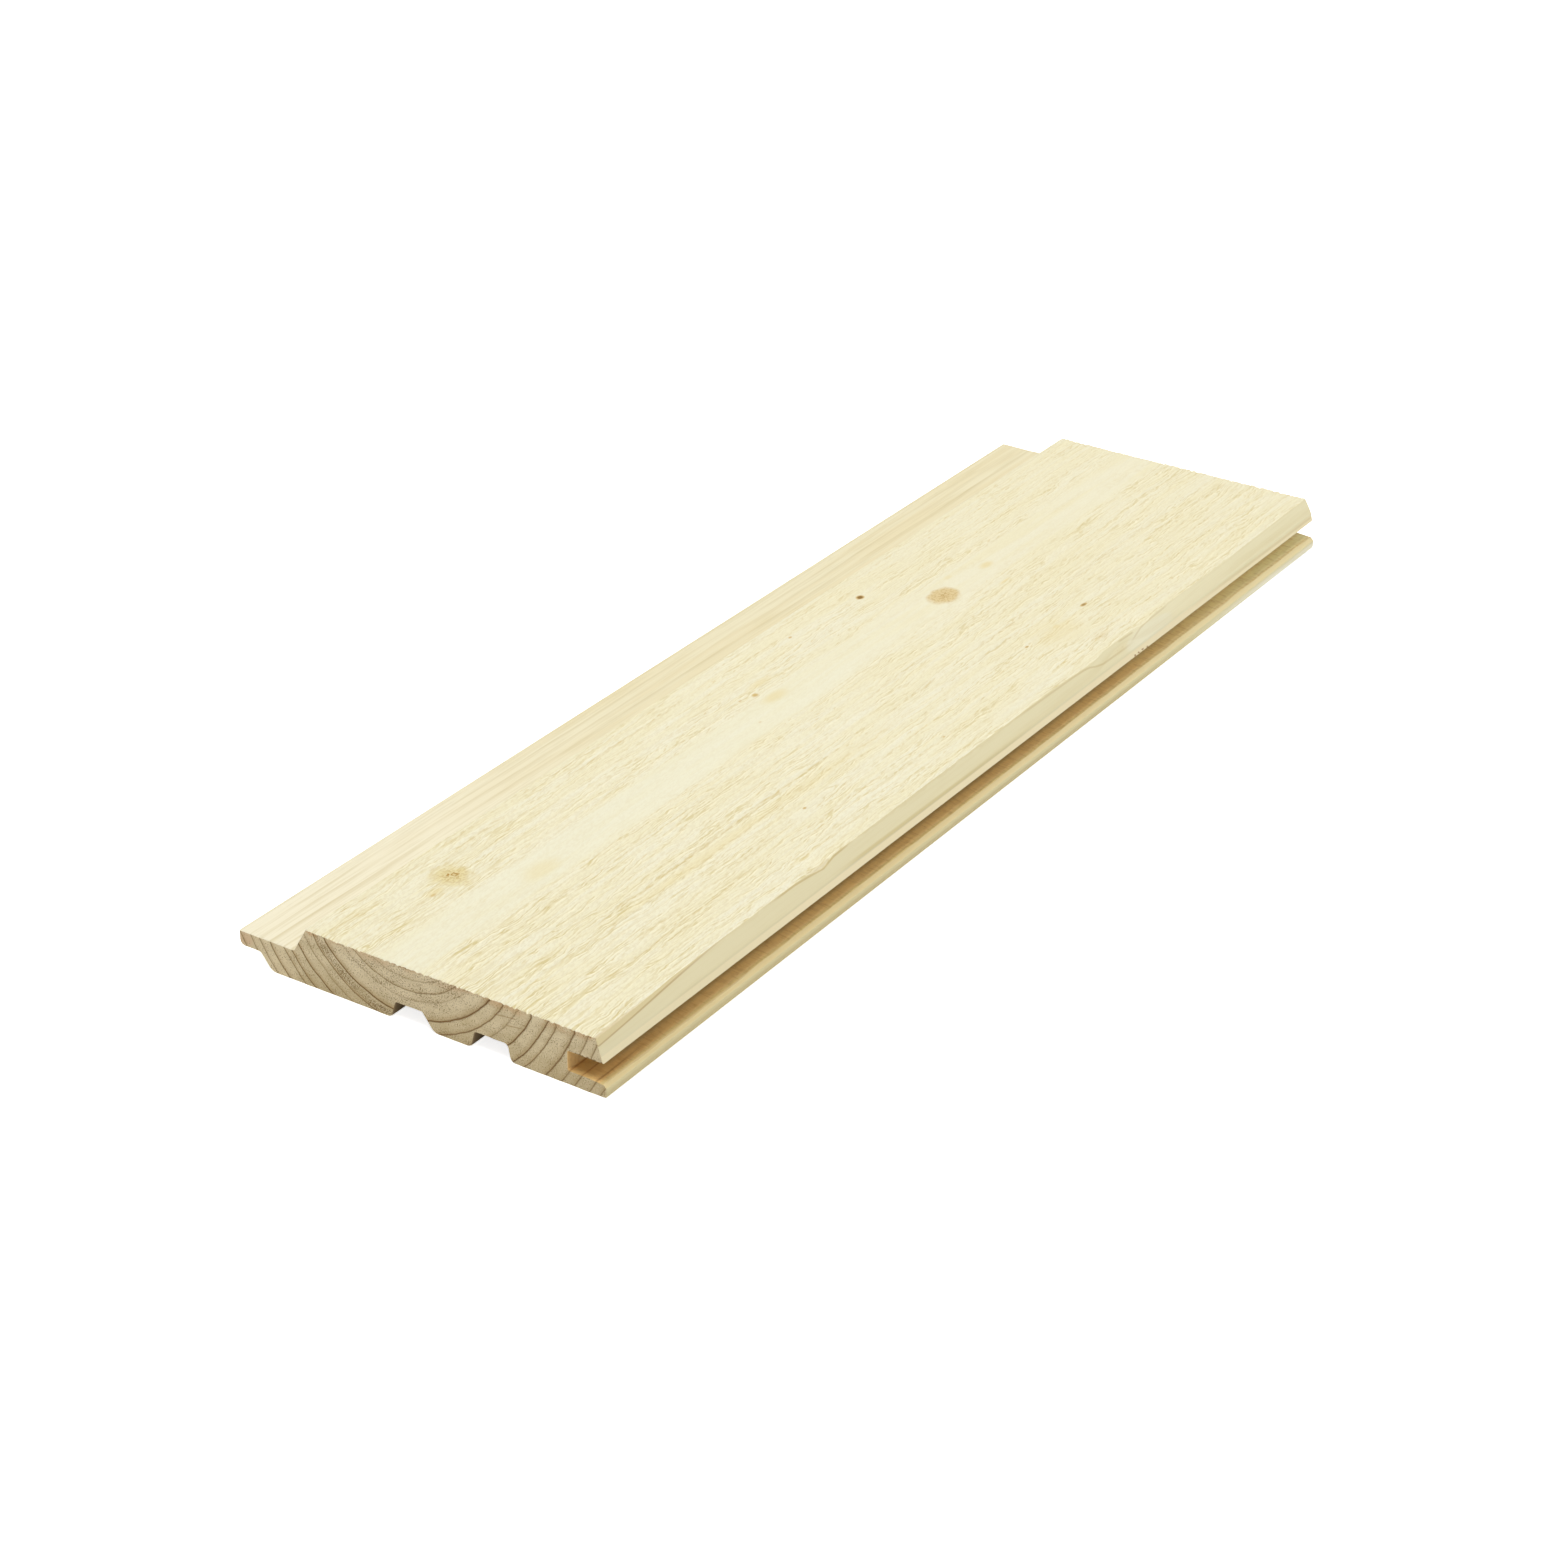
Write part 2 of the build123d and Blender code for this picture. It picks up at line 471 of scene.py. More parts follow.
def extrude_board(piece):
    """Draws the outline out along the board, divides its length into rows and closes its ends."""
    bpy.ops.mesh.select_all(action="SELECT")
    step = (LENGTH - 2 * END_ARRIS, 0, 0)
    bpy.ops.mesh.extrude_region_move(TRANSFORM_OT_translate={"value": step})
    for rows in (FIRST_ROWS, ROWS_IN_EACH):
        pick(piece, "EDGE", lambda edge: abs(edge.verts[0].co.x - edge.verts[1].co.x) > TOUCHING)
        bpy.ops.mesh.subdivide(number_cuts=rows - 1)
    last_row = LENGTH / 2 - END_ARRIS
    for end in (-last_row, last_row):
        pick(piece, "VERT", lambda vertex: abs(vertex.co.x - end) < TOUCHING)
        bpy.ops.mesh.edge_face_add()
    bpy.ops.mesh.select_all(action="SELECT")
    bpy.ops.mesh.normals_make_consistent(inside=False)
    pick(piece, "FACE", closes_an_end)
    bpy.ops.mesh.inset(thickness=END_ARRIS, depth=END_ARRIS, use_individual=True)


def paint(tone):
    """A tone as it is seen on a screen, from 0 to 255, made linear for the shaders."""
    shares = [channel / 255 for channel in tone]
    return (*[((share + 0.055) / 1.055) ** 2.4 for share in shares], 1.0)


class Wiring:
    """Adds nodes to a tree and joins them. The same recipes serve the relief and the materials."""

    def __init__(self, tree):
        self.tree = tree

    def add(self, kind, **settings):
        """A new node of that kind with those settings."""
        node = self.tree.nodes.new(kind)
        for name, value in settings.items():
            setattr(node, name, value)
        return node

    def feed(self, socket, value):
        """Joins another node's output to a socket, or sets the socket to a number or a colour."""
        if isinstance(value, bpy.types.NodeSocket):
            self.tree.links.new(value, socket)
        else:
            socket.default_value = value

    def math(self, operation, *values, clamp=False):
        """Arithmetic on numbers."""
        node = self.add("ShaderNodeMath", operation=operation, use_clamp=clamp)
        for socket, value in zip(node.inputs, values):
            self.feed(socket, value)
        return node.outputs[0]

    def total(self, *values):
        """Sum of several numbers."""
        result = values[0]
        for value in values[1:]:
            result = self.math("ADD", result, value)
        return result

    def times(self, *values):
        """Product of several numbers."""
        result = values[0]
        for value in values[1:]:
            result = self.math("MULTIPLY", result, value)
        return result

    def gap(self, first, second):
        """How far one number lies from another."""
        return self.math("ABSOLUTE", self.math("SUBTRACT", first, second))

    def stretch(self, point, along, across, up):
        """The point counted in patches of that length, width and height."""
        node = self.add("ShaderNodeVectorMath", operation="DIVIDE")
        self.feed(node.inputs[0], point)
        self.feed(node.inputs[1], (along, across, up))
        return node.outputs[0]

    def split(self, point):
        """The point's three parts."""
        node = self.add("ShaderNodeSeparateXYZ")
        self.feed(node.inputs[0], point)
        return node.outputs[0], node.outputs[1], node.outputs[2]

    def apart(self, point, centre, reach):
        """Distance of the point from a centre, counted in that reach along, across and up."""
        offset = self.add("ShaderNodeVectorMath", operation="SUBTRACT")
        self.feed(offset.inputs[0], point)
        self.feed(offset.inputs[1], centre)
        length = self.add("ShaderNodeVectorMath", operation="LENGTH")
        self.feed(length.inputs[0], self.stretch(offset.outputs[0], *reach))
        return length.outputs["Value"]

    def join(self, along, across, up):
        """A point from its three parts."""
        node = self.add("ShaderNodeCombineXYZ")
        for socket, value in zip(node.inputs, (along, across, up)):
            self.feed(socket, value)
        return node.outputs[0]

    def noise(self, point, detail=2.0, roughness=0.5, distortion=0.0):
        """Smooth noise from 0 to 1 with features about as large as one unit of the point."""
        node = self.add("ShaderNodeTexNoise")
        self.feed(node.inputs["Vector"], point)
        self.feed(node.inputs["Scale"], 1.0)
        self.feed(node.inputs["Detail"], detail)
        self.feed(node.inputs["Roughness"], roughness)
        self.feed(node.inputs["Distortion"], distortion)
        return node.outputs[0]

    def scatter(self, point):
        """Distance from the nearest of many points scattered about one unit apart."""
        node = self.add("ShaderNodeTexVoronoi")
        self.feed(node.inputs["Vector"], point)
        self.feed(node.inputs["Scale"], 1.0)
        return node.outputs["Distance"]

    def ramp(self, value, low, high, bottom=0.0, top=1.0):
        """A smooth step from bottom to top as value goes from low to high."""
        node = self.add("ShaderNodeMapRange", interpolation_type="SMOOTHSTEP")
        for socket, number in zip(node.inputs, (value, low, high, bottom, top)):
            self.feed(socket, number)
        return node.outputs[0]

    def fall(self, value, low, high):
        """A smooth step from 1 down to 0 as value goes from low to high."""
        return self.ramp(value, low, high, 1.0, 0.0)

    def band(self, value, start, full, fade, end):
        """1 between full and fade, with a smooth step up from start and down to end."""
        return self.times(self.ramp(value, start, full), self.fall(value, fade, end))

    def curve(self, value, points):
        """A number read off straight lines between points, all from 0 to 1."""
        node = self.add("ShaderNodeFloatCurve")
        self.feed(node.inputs["Value"], value)
        line = node.mapping.curves[0]
        line.points[0].location = points[0]
        line.points[1].location = points[-1]
        for place in points[1:-1]:
            line.points.new(*place)
        for point in line.points:
            point.handle_type = "VECTOR"
        node.mapping.update()
        return node.outputs[0]

    def mix(self, share, first, second):
        """A colour between two, each of them a tone or another node's output."""
        node = self.add("ShaderNodeMix", data_type="RGBA")
        self.feed(node.inputs[0], share)
        for socket, colour in ((node.inputs[6], first), (node.inputs[7], second)):
            self.feed(socket, colour if isinstance(colour, bpy.types.NodeSocket) else paint(colour))
        return node.outputs[2]

    def layer(self, colour, *coats):
        """A colour with coats laid over it one by one, each as how much of it shows and its tone."""
        for share, tone in coats:
            colour = self.mix(share, colour, tone)
        return colour


def knots(wires, point):
    """How brown the wood is in a knot, how dark its heart and checks are, and its push on the rings."""
    along, across, up = wires.split(point)
    wobble = wires.noise(wires.stretch(point, 4.0, 3.5, 4.0), detail=2.0)
    checks = wires.noise(wires.stretch(point, 1.1, 0.8, 1.4), detail=1.0)
    checks = wires.ramp(checks, 0.45, 0.62)
    brown = 0.0
    dark = 0.0
    push = 0.0
    for place, offset, half_length, half_width, body, heart, shove, softness in KNOTS:
        slope = (offset - PITH[1]) / (PITH[2] - TOP)
        level = wires.math("MULTIPLY_ADD", up, slope, across)
        flat = wires.join(along, level, 0.0)
        centre = (place, offset + slope * TOP, 0.0)
        away = wires.apart(flat, centre, (half_length, half_width, 1.0))
        edge = wires.total(away, wires.times(wires.math("SUBTRACT", wobble, 0.5), 1.1 * softness))
        halo = wires.ramp(edge, 1.1 - softness, 1.15, body, 0.0)
        core = wires.times(wires.ramp(edge, 0.02, 0.46, heart, 0.0), wires.ramp(checks, 0.0, 1.0, 0.2, 1.0))
        brown = wires.math("MAXIMUM", brown, halo)
        mottled = wires.times(halo, checks, 0.4)
        dark = wires.math("MAXIMUM", dark, wires.total(mottled, wires.times(core, 0.8)))
        far = wires.math("EXPONENT", wires.math("MULTIPLY", away, -0.8))
        push = wires.total(push, wires.times(far, 2.0 * shove))
    return SimpleNamespace(brown=brown, dark=dark, push=push)


def specks(wires, point, places, depth):
    """How dark the wood is in small marks near the sawn face, down to that depth in mm."""
    dark = 0.0
    for place, offset, half_length, half_width, shade in places:
        away = wires.apart(point, (place, offset, TOP), (half_length, half_width, depth))
        dark = wires.math("MAXIMUM", dark, wires.ramp(away, 0.25, 1.15, shade, 0.0))
    return dark


def growth(wires, point, push):
    """How far into its ring the wood at a point in mm lies, how dark that ring is, and its age in mm."""
    along, across, up = wires.split(point)
    wander = wires.noise(wires.stretch(point, 150.0, 60.0, 60.0), detail=1.0)
    settle = wires.ramp(along, NEAR_END, NEAR_END + 40.0)
    ripple = wires.noise(wires.stretch(point, 38.0, 8.0, 8.0), detail=2.0)
    quiver = wires.noise(wires.stretch(point, 5.5, 3.0, 4.0), detail=1.0)
    sawn = wires.ramp(up, 19.0, 20.4, 0.0, 2.4)
    age = wires.apart(point, PITH, (ANY_LENGTH, 1.0, 1.0))
    side = wires.math("DIVIDE", wires.math("SUBTRACT", across, PITH[1]), age)
    older = wires.math("MAXIMUM", wires.math("SUBTRACT", age, WIDER_FROM), 0.0)
    age = wires.total(
        age,
        wires.times(older, side, WIDER_BY),
        push,
        wires.times(wires.fall(across, -70.0, -58.0), wires.ramp(along, NEAR_END, NEAR_END + 60.0), 2.4),
        wires.times(wires.math("SUBTRACT", wander, 0.5), settle, 4.0),
        wires.times(wires.math("SUBTRACT", ripple, 0.5), 1.2),
        wires.times(wires.math("SUBTRACT", quiver, 0.5), sawn),
    )
    count = len(RINGS)
    places = [(0.0, 0.0)]
    places += [(ring / RING_REACH, (number + 1) / (count + 1)) for number, (ring, _) in enumerate(RINGS)]
    places += [(1.0, 1.0)]
    order = wires.curve(wires.math("DIVIDE", age, RING_REACH), places)
    shades = [(0.0, 0.0)]
    shades += [((number + 1) / (count + 1), shade) for number, (_, shade) in enumerate(RINGS)]
    shades += [(1.0, RINGS[-1][1])]
    season = wires.math("FRACT", wires.math("MULTIPLY", order, count + 1.0))
    return SimpleNamespace(season=season, shade=wires.curve(order, shades), age=age)


def late_wood(wires, ring, start, sharpness):
    """Dark late wood: it darkens from that share of the ring on, and ends at once."""
    rise = wires.math("POWER", wires.ramp(ring.season, start, 0.96), sharpness)
    end = wires.fall(ring.season, 0.97, 1.0)
    after = wires.ramp(ring.season, 0.0, 0.05, 0.5, 0.0)
    return wires.math("MAXIMUM", wires.math("MULTIPLY", rise, end), after)


def threads(wires, along, across, up):
    """Thin long lines along the grain, a few mm apart, which wander and meet, and the wood round them."""
    point = wires.join(along, across, up)
    coarse = wires.gap(wires.noise(wires.stretch(point, 60.0, 2.9, 10.0), detail=1.0), 0.5)
    fine = wires.gap(wires.noise(wires.stretch(point, 24.0, 1.7, 8.0), detail=1.0), 0.5)
    lines = wires.math("MAXIMUM", wires.fall(coarse, 0.006, 0.03), wires.ramp(fine, 0.008, 0.04, 0.8, 0.0))
    return lines, wires.fall(coarse, 0.02, 0.14)


def saw_marks(wires, point, ring):
    """What the saw left: ridges, broken lines with warmer fibres by them and a paler copy beside each,
    partly raised fibres and partly painted highlight, tears and dashes.

    The calm band is the smooth pale strip of young wood that runs along under the pith.
    """
    drift = wires.noise(wires.stretch(point, 28.0, 13.0, 13.0), detail=1.0)
    along, across, up = wires.split(point)
    bent = wires.math("MULTIPLY_ADD", drift, 3.0, across)
    slanted = wires.join(along, wires.math("MULTIPLY_ADD", along, -FIBRE_SLANT, bent), up)
    ridges = wires.noise(wires.stretch(wires.join(along, bent, up), 17.0, 1.5, 7.0), detail=1.0)
    quiver = wires.noise(wires.stretch(point, 6.0, 4.0, 6.0), detail=1.0)
    groups = wires.noise(wires.stretch(point, 26.0, 6.0, 9.0), detail=2.0)
    dashes = wires.ramp(wires.noise(wires.stretch(slanted, 3.8, 1.0, 3.0), detail=1.0), 0.4, 0.54)
    calm = wires.band(across, -4.0, 0.5, 12.5, 17.5)
    here = wires.times(
        wires.ramp(groups, 0.36, 0.6, 0.35, 0.95),
        wires.ramp(calm, 0.0, 0.8, 1.0, 0.12),
        wires.ramp(across, 22.0, 36.0, 1.0, 0.7),
        wires.ramp(along, NEAR_END, -40.0, 1.5, 1.0),
    )
    wavy = wires.math("MULTIPLY_ADD", quiver, 2.0, bent)
    lines, around = threads(wires, along, wavy, up)
    whole = wires.ramp(along, NEAR_END, -110.0, 0.6, 0.3)
    beside, _ = threads(wires, along, wires.math("ADD", wavy, RAISED_AND_HIGHLIGHT_BESIDE), up)
    strokes = wires.noise(wires.stretch(slanted, 4.8, 0.8, 3.0), detail=1.0)
    ease = wires.total(
        wires.times(groups, 0.3),
        wires.times(wires.ramp(ring.season, 0.6, 0.9), ring.shade, 0.08),
        wires.times(calm, -0.12),
    )
    return SimpleNamespace(
        ridges=ridges,
        broken=wires.times(lines, here, wires.ramp(dashes, 0.0, 1.0, whole, 1.0)),
        warm=wires.times(around, here),
        # a paler copy of the lines beside them, partly painted highlight
        raised_and_highlight=wires.times(beside, here, wires.ramp(dashes, 0.0, 1.0, 0.2, 1.0)),
        torn=wires.ramp(wires.math("ADD", strokes, ease), 0.84, 0.91),
        dashes=dashes,
        calm=calm,
    )


def arris_dips(wires, along, across):
    """How deep the saw tore the arris of the groove side, in mm, fading inwards over the face."""
    depth = 0.0
    for place, before, after, deep in ARRIS_DIPS:
        rise = wires.ramp(along, place - before, place, 0.0, deep)
        depth = wires.total(depth, wires.times(rise, wires.fall(along, place, place + after)))
    return wires.times(depth, wires.fall(across, -68.0, -56.0))


def face_drop(wires, point):
    """How far each place of the sawn face lies below the flat, in mm. It is 0 on every other side."""
    along, across, up = wires.split(point)
    knot = knots(wires, point)
    ring = growth(wires, point, knot.push)
    marks = saw_marks(wires, point, ring)
    swell = wires.noise(wires.stretch(point, 70.0, 22.0, 22.0), detail=2.0)
    inside = wires.band(across, -66.0, -58.0, 36.0, 43.0)
    rough = wires.ramp(marks.calm, 0.0, 1.0, 1.0, 0.45)
    nicks = wires.noise(wires.stretch(point, 2.5, 1.3, 20.0), detail=2.0)
    near_edge = wires.ramp(wires.math("ABSOLUTE", along), FAR_END - 2.4, FAR_END)
    drop = wires.total(
        wires.times(wires.ramp(swell, 0.3, 0.75), inside, SWELL_DEPTH),
        wires.times(wires.ramp(marks.ridges, 0.3, 0.7), rough, RIDGE_DEPTH),
        wires.times(marks.torn, TEAR_DEPTH),
        wires.times(marks.broken, -LIFTED_LINE_RISE),
        wires.times(late_wood(wires, ring, 0.55, 1.0), ring.shade, -LATE_WOOD_RISE),
        wires.times(knot.brown, -KNOT_RISE),
        DROP_EVERYWHERE,
        wires.times(knot.dark, KNOT_CHECK_DEPTH),
        wires.times(near_edge, wires.ramp(nicks, 0.45, 0.66), END_NICK_DEPTH),
        arris_dips(wires, along, across),
    )
    drop = wires.math("MAXIMUM", drop, LEAST_DROP)
    return wires.times(drop, wires.ramp(up, TOP - 0.6, TOP - 0.32))


def lip_growth(wires, point):
    """How far the top corner of the lower lip's bevel is shifted across, in mm: outwards, so below 0."""
    along, _, _ = wires.split(point)
    waver = wires.noise(wires.stretch(point, 15.0, 30.0, 30.0), detail=3.0)
    corner = (0.0, (LOWER_LIP_EDGE + LOWER_LIP_BEVEL_WIDTH) / MM, LIP_TOP / MM)
    away = wires.apart(point, corner, (ANY_LENGTH, 1.6, 1.6))
    less_from = NEAR_END + MORE_LEFT_OVER
    return wires.times(
        wires.fall(away, 0.45, 1.0),
        wires.ramp(along, NEAR_END, less_from, 1.65, 1.0),
        wires.ramp(along, less_from, FAR_END, 1.0, 1.2),
        wires.ramp(waver, 0.3, 0.7, -0.7 * LIP_NARROWING, -LIP_NARROWING),
    )


def sawn_relief(piece):
    """Carves the saw's relief into the face, its ragged end arrises and what wavers on the groove side."""
    tree = bpy.data.node_groups.new("sawn relief", "GeometryNodeTree")
    tree.interface.new_socket(name="Geometry", in_out="INPUT", socket_type="NodeSocketGeometry")
    tree.interface.new_socket(name="Geometry", in_out="OUTPUT", socket_type="NodeSocketGeometry")
    wires = Wiring(tree)
    start = wires.add("NodeGroupInput")
    move = wires.add("GeometryNodeSetPosition")
    end = wires.add("NodeGroupOutput")
    place = wires.add("GeometryNodeInputPosition").outputs[0]
    point = wires.stretch(place, MM, MM, MM)
    along, across, up = wires.split(point)
    sawn = face_drop(wires, point)
    slide = math.tan(math.radians(FACE_BEVEL))
    groove_side = wires.times(sawn, wires.ramp(across, -68.0, -66.5, -slide, 0.0))
    tongue_side = wires.times(sawn, wires.ramp(across, 43.0, 44.6, 0.0, slide))
    on_end_arris = wires.math("COMPARE", wires.math("ABSOLUTE", along), FAR_END - END_ARRIS / MM, 0.05)
    ragged = wires.noise(wires.stretch(point, 3.0, 0.8, 0.8), detail=2.0)
    ragged = wires.ramp(ragged, 0.35, 0.7, END_RAGGED_OUT, -END_RAGGED_IN)
    outwards = wires.times(on_end_arris, wires.math("SIGN", along), ragged)
    fuller = wires.times(
        wires.ramp(along, NEAR_END, NEAR_END + FULLER_OVER, -ARRIS_FULLNESS, 0.0),
        wires.fall(across, -67.6, -59.0),
        wires.ramp(up, 15.0, 20.8),
    )
    lip = lip_growth(wires, point)
    sideways = wires.total(groove_side, tongue_side, fuller, lip)
    upwards = wires.math("MULTIPLY_ADD", lip, 0.22, wires.times(sawn, -1.0))
    shift = wires.join(outwards, sideways, upwards)
    wires.feed(move.inputs["Geometry"], start.outputs[0])
    wires.feed(move.inputs["Offset"], wires.stretch(shift, 1 / MM, 1 / MM, 1 / MM))
    wires.feed(end.inputs[0], move.outputs[0])
    carve = piece.modifiers.new("sawn relief", "NODES")
    carve.node_group = tree
    bpy.ops.object.modifier_apply(modifier=carve.name)


def new_material(name):
    """A material with its wiring, its shader and a point in mm on the piece."""
    material = bpy.data.materials.new(name)
    material.use_nodes = True
    wires = Wiring(material.node_tree)
    shader = material.node_tree.nodes["Principled BSDF"]
    point = wires.stretch(wires.add("ShaderNodeTexCoord").outputs["Object"], MM, MM, MM)
    return material, wires, shader, point


def finish_shader(wires, shader, colour, roughness, shine, height, depth):
    """Gives a shader its colour, its roughness, its shine, and bumps from 0 to 1 over a depth in metres."""
    wires.feed(shader.inputs["Base Color"], colour)
    shader.inputs["Roughness"].default_value = roughness
    shader.inputs["Specular IOR Level"].default_value = shine
    bump = wires.add("ShaderNodeBump")
    wires.feed(bump.inputs["Height"], height)
    bump.inputs["Distance"].default_value = depth
    bump.inputs["Strength"].default_value = 1.0
    wires.feed(shader.inputs["Normal"], bump.outputs[0])


def near_ring(wires, point):
    """A ring line that runs out over the groove side's bevel at the near end, and the tan above it."""
    along, across, up = wires.split(point)
    far = wires.math("SUBTRACT", along, NEAR_END)
    above = wires.math("SUBTRACT", up, wires.math("MULTIPLY_ADD", far, 0.039, 18.0))
    fading = wires.times(wires.fall(far, 35.0, 85.0), wires.fall(across, -67.6, -67.2))
    line = wires.fall(wires.math("ABSOLUTE", above), 0.1, 0.4)
    tan = wires.ramp(above, 0.0, 0.3)
    return SimpleNamespace(line=wires.times(line, fading), above=wires.times(tan, fading))


def sawn_face_material():
    """Pale cream sawn face, with faint tan rings, torn fibres and soft brown knots."""
    material, wires, shader, point = new_material("sawn face")
    along, across, up = wires.split(point)
    knot = knots(wires, point)
    ring = growth(wires, point, knot.push)
    marks = saw_marks(wires, point, ring)
    fading = wires.noise(wires.stretch(point, 34.0, 5.0, 8.0), detail=2.0)
    streaks = specks(wires, point, STREAKS, STREAK_DEPTH)
    strength = wires.math("MAXIMUM", wires.ramp(fading, 0.42, 0.64, 0.0, 0.6), streaks)
    late = wires.times(late_wood(wires, ring, 0.68, 1.3), ring.shade, strength)
    early = wires.times(wires.band(ring.season, 0.02, 0.07, 0.12, 0.24), ring.shade, strength)
    tint = wires.noise(wires.stretch(point, 80.0, 4.0, 12.0), detail=2.0)
    fuzz = wires.noise(wires.stretch(point, 1.5, 0.6, 1.0), detail=1.0)
    crossed = wires.join(along, wires.math("MULTIPLY_ADD", along, -SAW_SLANT, across), up)
    flecks = wires.noise(wires.stretch(crossed, 1.8, 0.8, 2.0), detail=2.0)
    flecks = wires.times(wires.ramp(flecks, 0.42, 0.62), wires.ramp(along, NEAR_END, 60.0, 0.33, 0.18))
    stains = specks(wires, point, STAINS, PIN_DEPTH)
    pins = specks(wires, point, PIN_KNOTS, PIN_DEPTH)
    strip = wires.times(wires.ramp(across, -69.0, -68.0, 0.9, 0.0), wires.fall(along, -230.0, -200.0))
    torn_edge = wires.times(wires.fall(up, 20.1, 20.6), wires.fall(across, -67.6, -65.6))
    body = wires.mix(wires.ramp(along, -60.0, 0.0), FACE.near_knots, FACE.far_knots)
    colour = wires.mix(wires.ramp(tint, 0.36, 0.64), FACE.cream, FACE.warmer_cream)
    colour = wires.layer(
        colour,
        (wires.ramp(along, -60.0, 160.0, 0.0, 0.2), FACE.far_half),
        (wires.times(marks.warm, 0.26), FACE.round_lines),
        (wires.times(marks.calm, wires.ramp(along, -60.0, 120.0, 0.6, 0.0)), FACE.calm_band),
        (wires.times(wires.ramp(marks.ridges, 0.42, 0.68), 0.12), FACE.ridges),
        (wires.times(flecks, wires.ramp(marks.calm, 0.0, 1.0, 1.0, 0.5)), FACE.flecks),
        (wires.times(late, 0.3), FACE.late_wood),
        # A paler copy beside each broken line: partly raised fibres, partly painted highlight
        (wires.times(marks.raised_and_highlight, 0.65), FACE.raised_fibres_and_highlight),
        (wires.times(early, marks.dashes, 0.6), FACE.early_wood),
        (wires.times(marks.broken, 0.76), FACE.broken_lines),
        (wires.times(late, marks.dashes, 0.65), FACE.late_dashes),
        (wires.times(marks.torn, 0.42), FACE.tears),
        (wires.times(stains, 0.6), FACE.stains),
        (wires.times(knot.brown, 0.9), body),
        (wires.times(knot.dark, 0.85), FACE.knot_hearts),
        (wires.times(wires.ramp(pins, 0.0, 0.45), 0.85), FACE.pin_halos),
        (wires.times(wires.ramp(pins, 0.35, 1.0), 0.85), FACE.pin_hearts),
        (wires.times(near_ring(wires, point).above, strip), FACE.tan_strip),
        (wires.times(torn_edge, wires.ramp(along, -60.0, 0.0, 0.35, 0.05)), FACE.torn_arris),
    )
    height = wires.total(
        wires.times(marks.torn, -0.6),
        wires.times(marks.broken, 0.6),
        wires.times(late, marks.dashes, 0.8),
        wires.times(fuzz, 0.6),
    )
    finish_shader(wires, shader, colour, 0.9, 0.15, height, 0.06 * MM)
    return material


def bevel_coats(wires, point, reach):
    """Tones of the groove side's bevel and nose: paler past the far knot, with one pale patch."""
    along, across, up = wires.split(point)
    bevel = wires.times(wires.fall(across, -60.0, -59.0), wires.ramp(up, 12.0, 12.1))
    paler = wires.times(wires.ramp(along, 88.0, 99.0), wires.ramp(along, 100.0, 190.0, 0.7, 0.2), bevel)
    patch = wires.fall(wires.apart(point, (107.0, -70.5, 16.6), (20.0, 9.0, 3.4)), 0.8, 1.0)
    return (
        (bevel, wires.mix(reach, BEVEL.near, BEVEL.far)),
        (paler, BEVEL.past_knot),
        (wires.times(patch, bevel, 0.7), BEVEL.pale_patch),
    )


def lip_side_coats(wires, point, reach):
    """Tones of the lower lip's side: painted shade darker at its foot, and paler low down towards the far
    end.
    """
    along, across, up = wires.split(point)
    side = wires.times(wires.fall(across, -60.0, -59.0), wires.fall(up, 6.0, 7.0))
    # painted shade, darker low on the lip's side
    shaded_foot = wires.times(
        wires.fall(across, -71.0, -70.0), wires.ramp(up, 1.9, 3.1, 0.7, 0.0), wires.fall(along, 60.0, 170.0)
    )
    return (
        (side, wires.mix(reach, LIP.near_side, LIP.far_side)),
        (shaded_foot, LIP.shaded_foot),
        (wires.times(side, wires.fall(up, 2.2, 3.8), wires.ramp(along, 130.0, 210.0)), LIP.pale_low_side),
    )


def nose_coats(wires, point):
    """Painted light on the upper lip's upright nose, paler than the bevel, and painted shade along the line
    where the bevel meets it.
    """
    along, across, up = wires.split(point)
    nose = wires.times(wires.fall(across, -70.9, -70.6), wires.band(up, 12.2, 12.4, 14.3, 14.8), 0.9)
    near = wires.fall(along, -190.0, -120.0)
    line = wires.fall(wires.gap(up, wires.math("MULTIPLY_ADD", along, -0.005, 15.0)), 0.2, 0.9)
    shown = wires.total(
        wires.times(wires.ramp(along, -115.0, -92.0, 0.0, 0.75), wires.ramp(along, -45.0, 45.0, 1.0, 0.1)),
        wires.ramp(along, 130.0, 180.0, 0.0, 0.4),
    )
    return (
        (nose, wires.mix(near, BEVEL.far_nose_light, BEVEL.near_nose_light)),
        (wires.times(line, wires.fall(across, -69.5, -69.0), shown), BEVEL.nose_line_shade),
    )


